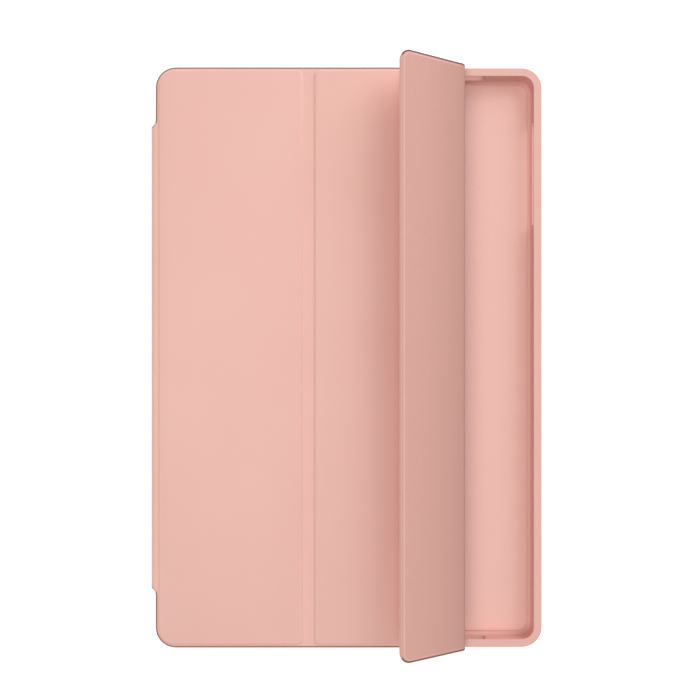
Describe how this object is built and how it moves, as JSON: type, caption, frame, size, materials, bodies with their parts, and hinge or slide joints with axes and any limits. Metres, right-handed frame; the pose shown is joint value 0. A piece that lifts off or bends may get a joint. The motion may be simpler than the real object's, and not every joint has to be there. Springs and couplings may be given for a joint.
{
  "type": "tablet case",
  "caption": "Folio tablet case: a soft moulded tray, a flexible spine and a folding leather cover lined with microfibre, its end panel folded back.",
  "frame": {"origin": "centre of the back face, on the surface that the case lies on", "axes": "+Y towards the tablet's top edge, +X from the spine towards the free edge, +Z out through the screen"},
  "size_m": [0.1704, 0.2528, 0.0299],
  "materials": {
    "tray_plastic": "soft-touch matt moulded thermoplastic polyurethane",
    "cover_leather": "fine-grained coated leather, satin, heat-embossed",
    "microfibre": "brushed microfibre with a short nap",
    "stiffener_board": "plain rigid sheet",
    "nickel_magnet": "nickel plated",
    "keeper_steel": "rolled sheet"
  },
  "bodies": {
    "shell": {"back_shell": "tray_plastic", "back_skin": "cover_leather", "tray_lining": "microfibre"},
    "spine": {"spine_skin": "cover_leather", "spine_board": "stiffener_board", "spine_lining": "microfibre", "spine_back_fold_skin": "cover_leather", "spine_back_fold_lining": "microfibre"},
    "panel_1": {"panel_1_skin": "cover_leather", "panel_1_board": "stiffener_board", "panel_1_lining": "microfibre", "keeper_strip": "keeper_steel", "spine_front_fold_skin": "cover_leather", "spine_front_fold_lining": "microfibre"},
    "panel_2": {"panel_2_skin": "cover_leather", "panel_2_board": "stiffener_board", "panel_2_lining": "microfibre", "fold_1_2_skin": "cover_leather", "fold_1_2_lining": "microfibre"},
    "panel_3": {"panel_3_skin": "cover_leather", "panel_3_board": "stiffener_board", "panel_3_lining": "microfibre", "closing_magnets": "nickel_magnet", "wake_magnet": "nickel_magnet", "fold_2_3_skin": "cover_leather", "fold_2_3_lining": "microfibre"}
  },
  "joints": [
    {"name": "spine_back_fold", "type": "hinge", "parent": "shell", "child": "spine", "pos_m": [-0.0842, 0, 0.001], "axis": [0, -1, 0], "range_deg": [0, 90], "deforming": ["spine_back_fold_skin", "spine_back_fold_lining"]},
    {"name": "spine_front_fold", "type": "hinge", "parent": "spine", "child": "panel_1", "pos_m": [-0.0842, 0, 0.0107], "axis": [0, -1, 0], "range_deg": [0, 130], "deforming": ["spine_front_fold_skin", "spine_front_fold_lining"]},
    {"name": "fold_1_2", "type": "hinge", "parent": "panel_1", "child": "panel_2", "pos_m": [-0.01655, 0, 0.01247], "axis": [0, -1, 0], "range_deg": [0, 150], "deforming": ["fold_1_2_skin", "fold_1_2_lining"]},
    {"name": "fold_2_3", "type": "hinge", "parent": "panel_2", "child": "panel_3", "pos_m": [0.0511, 0, 0.01247], "axis": [0, -1, 0], "range_deg": [-152.5, 12], "deforming": ["fold_2_3_skin", "fold_2_3_lining"]}
  ]
}
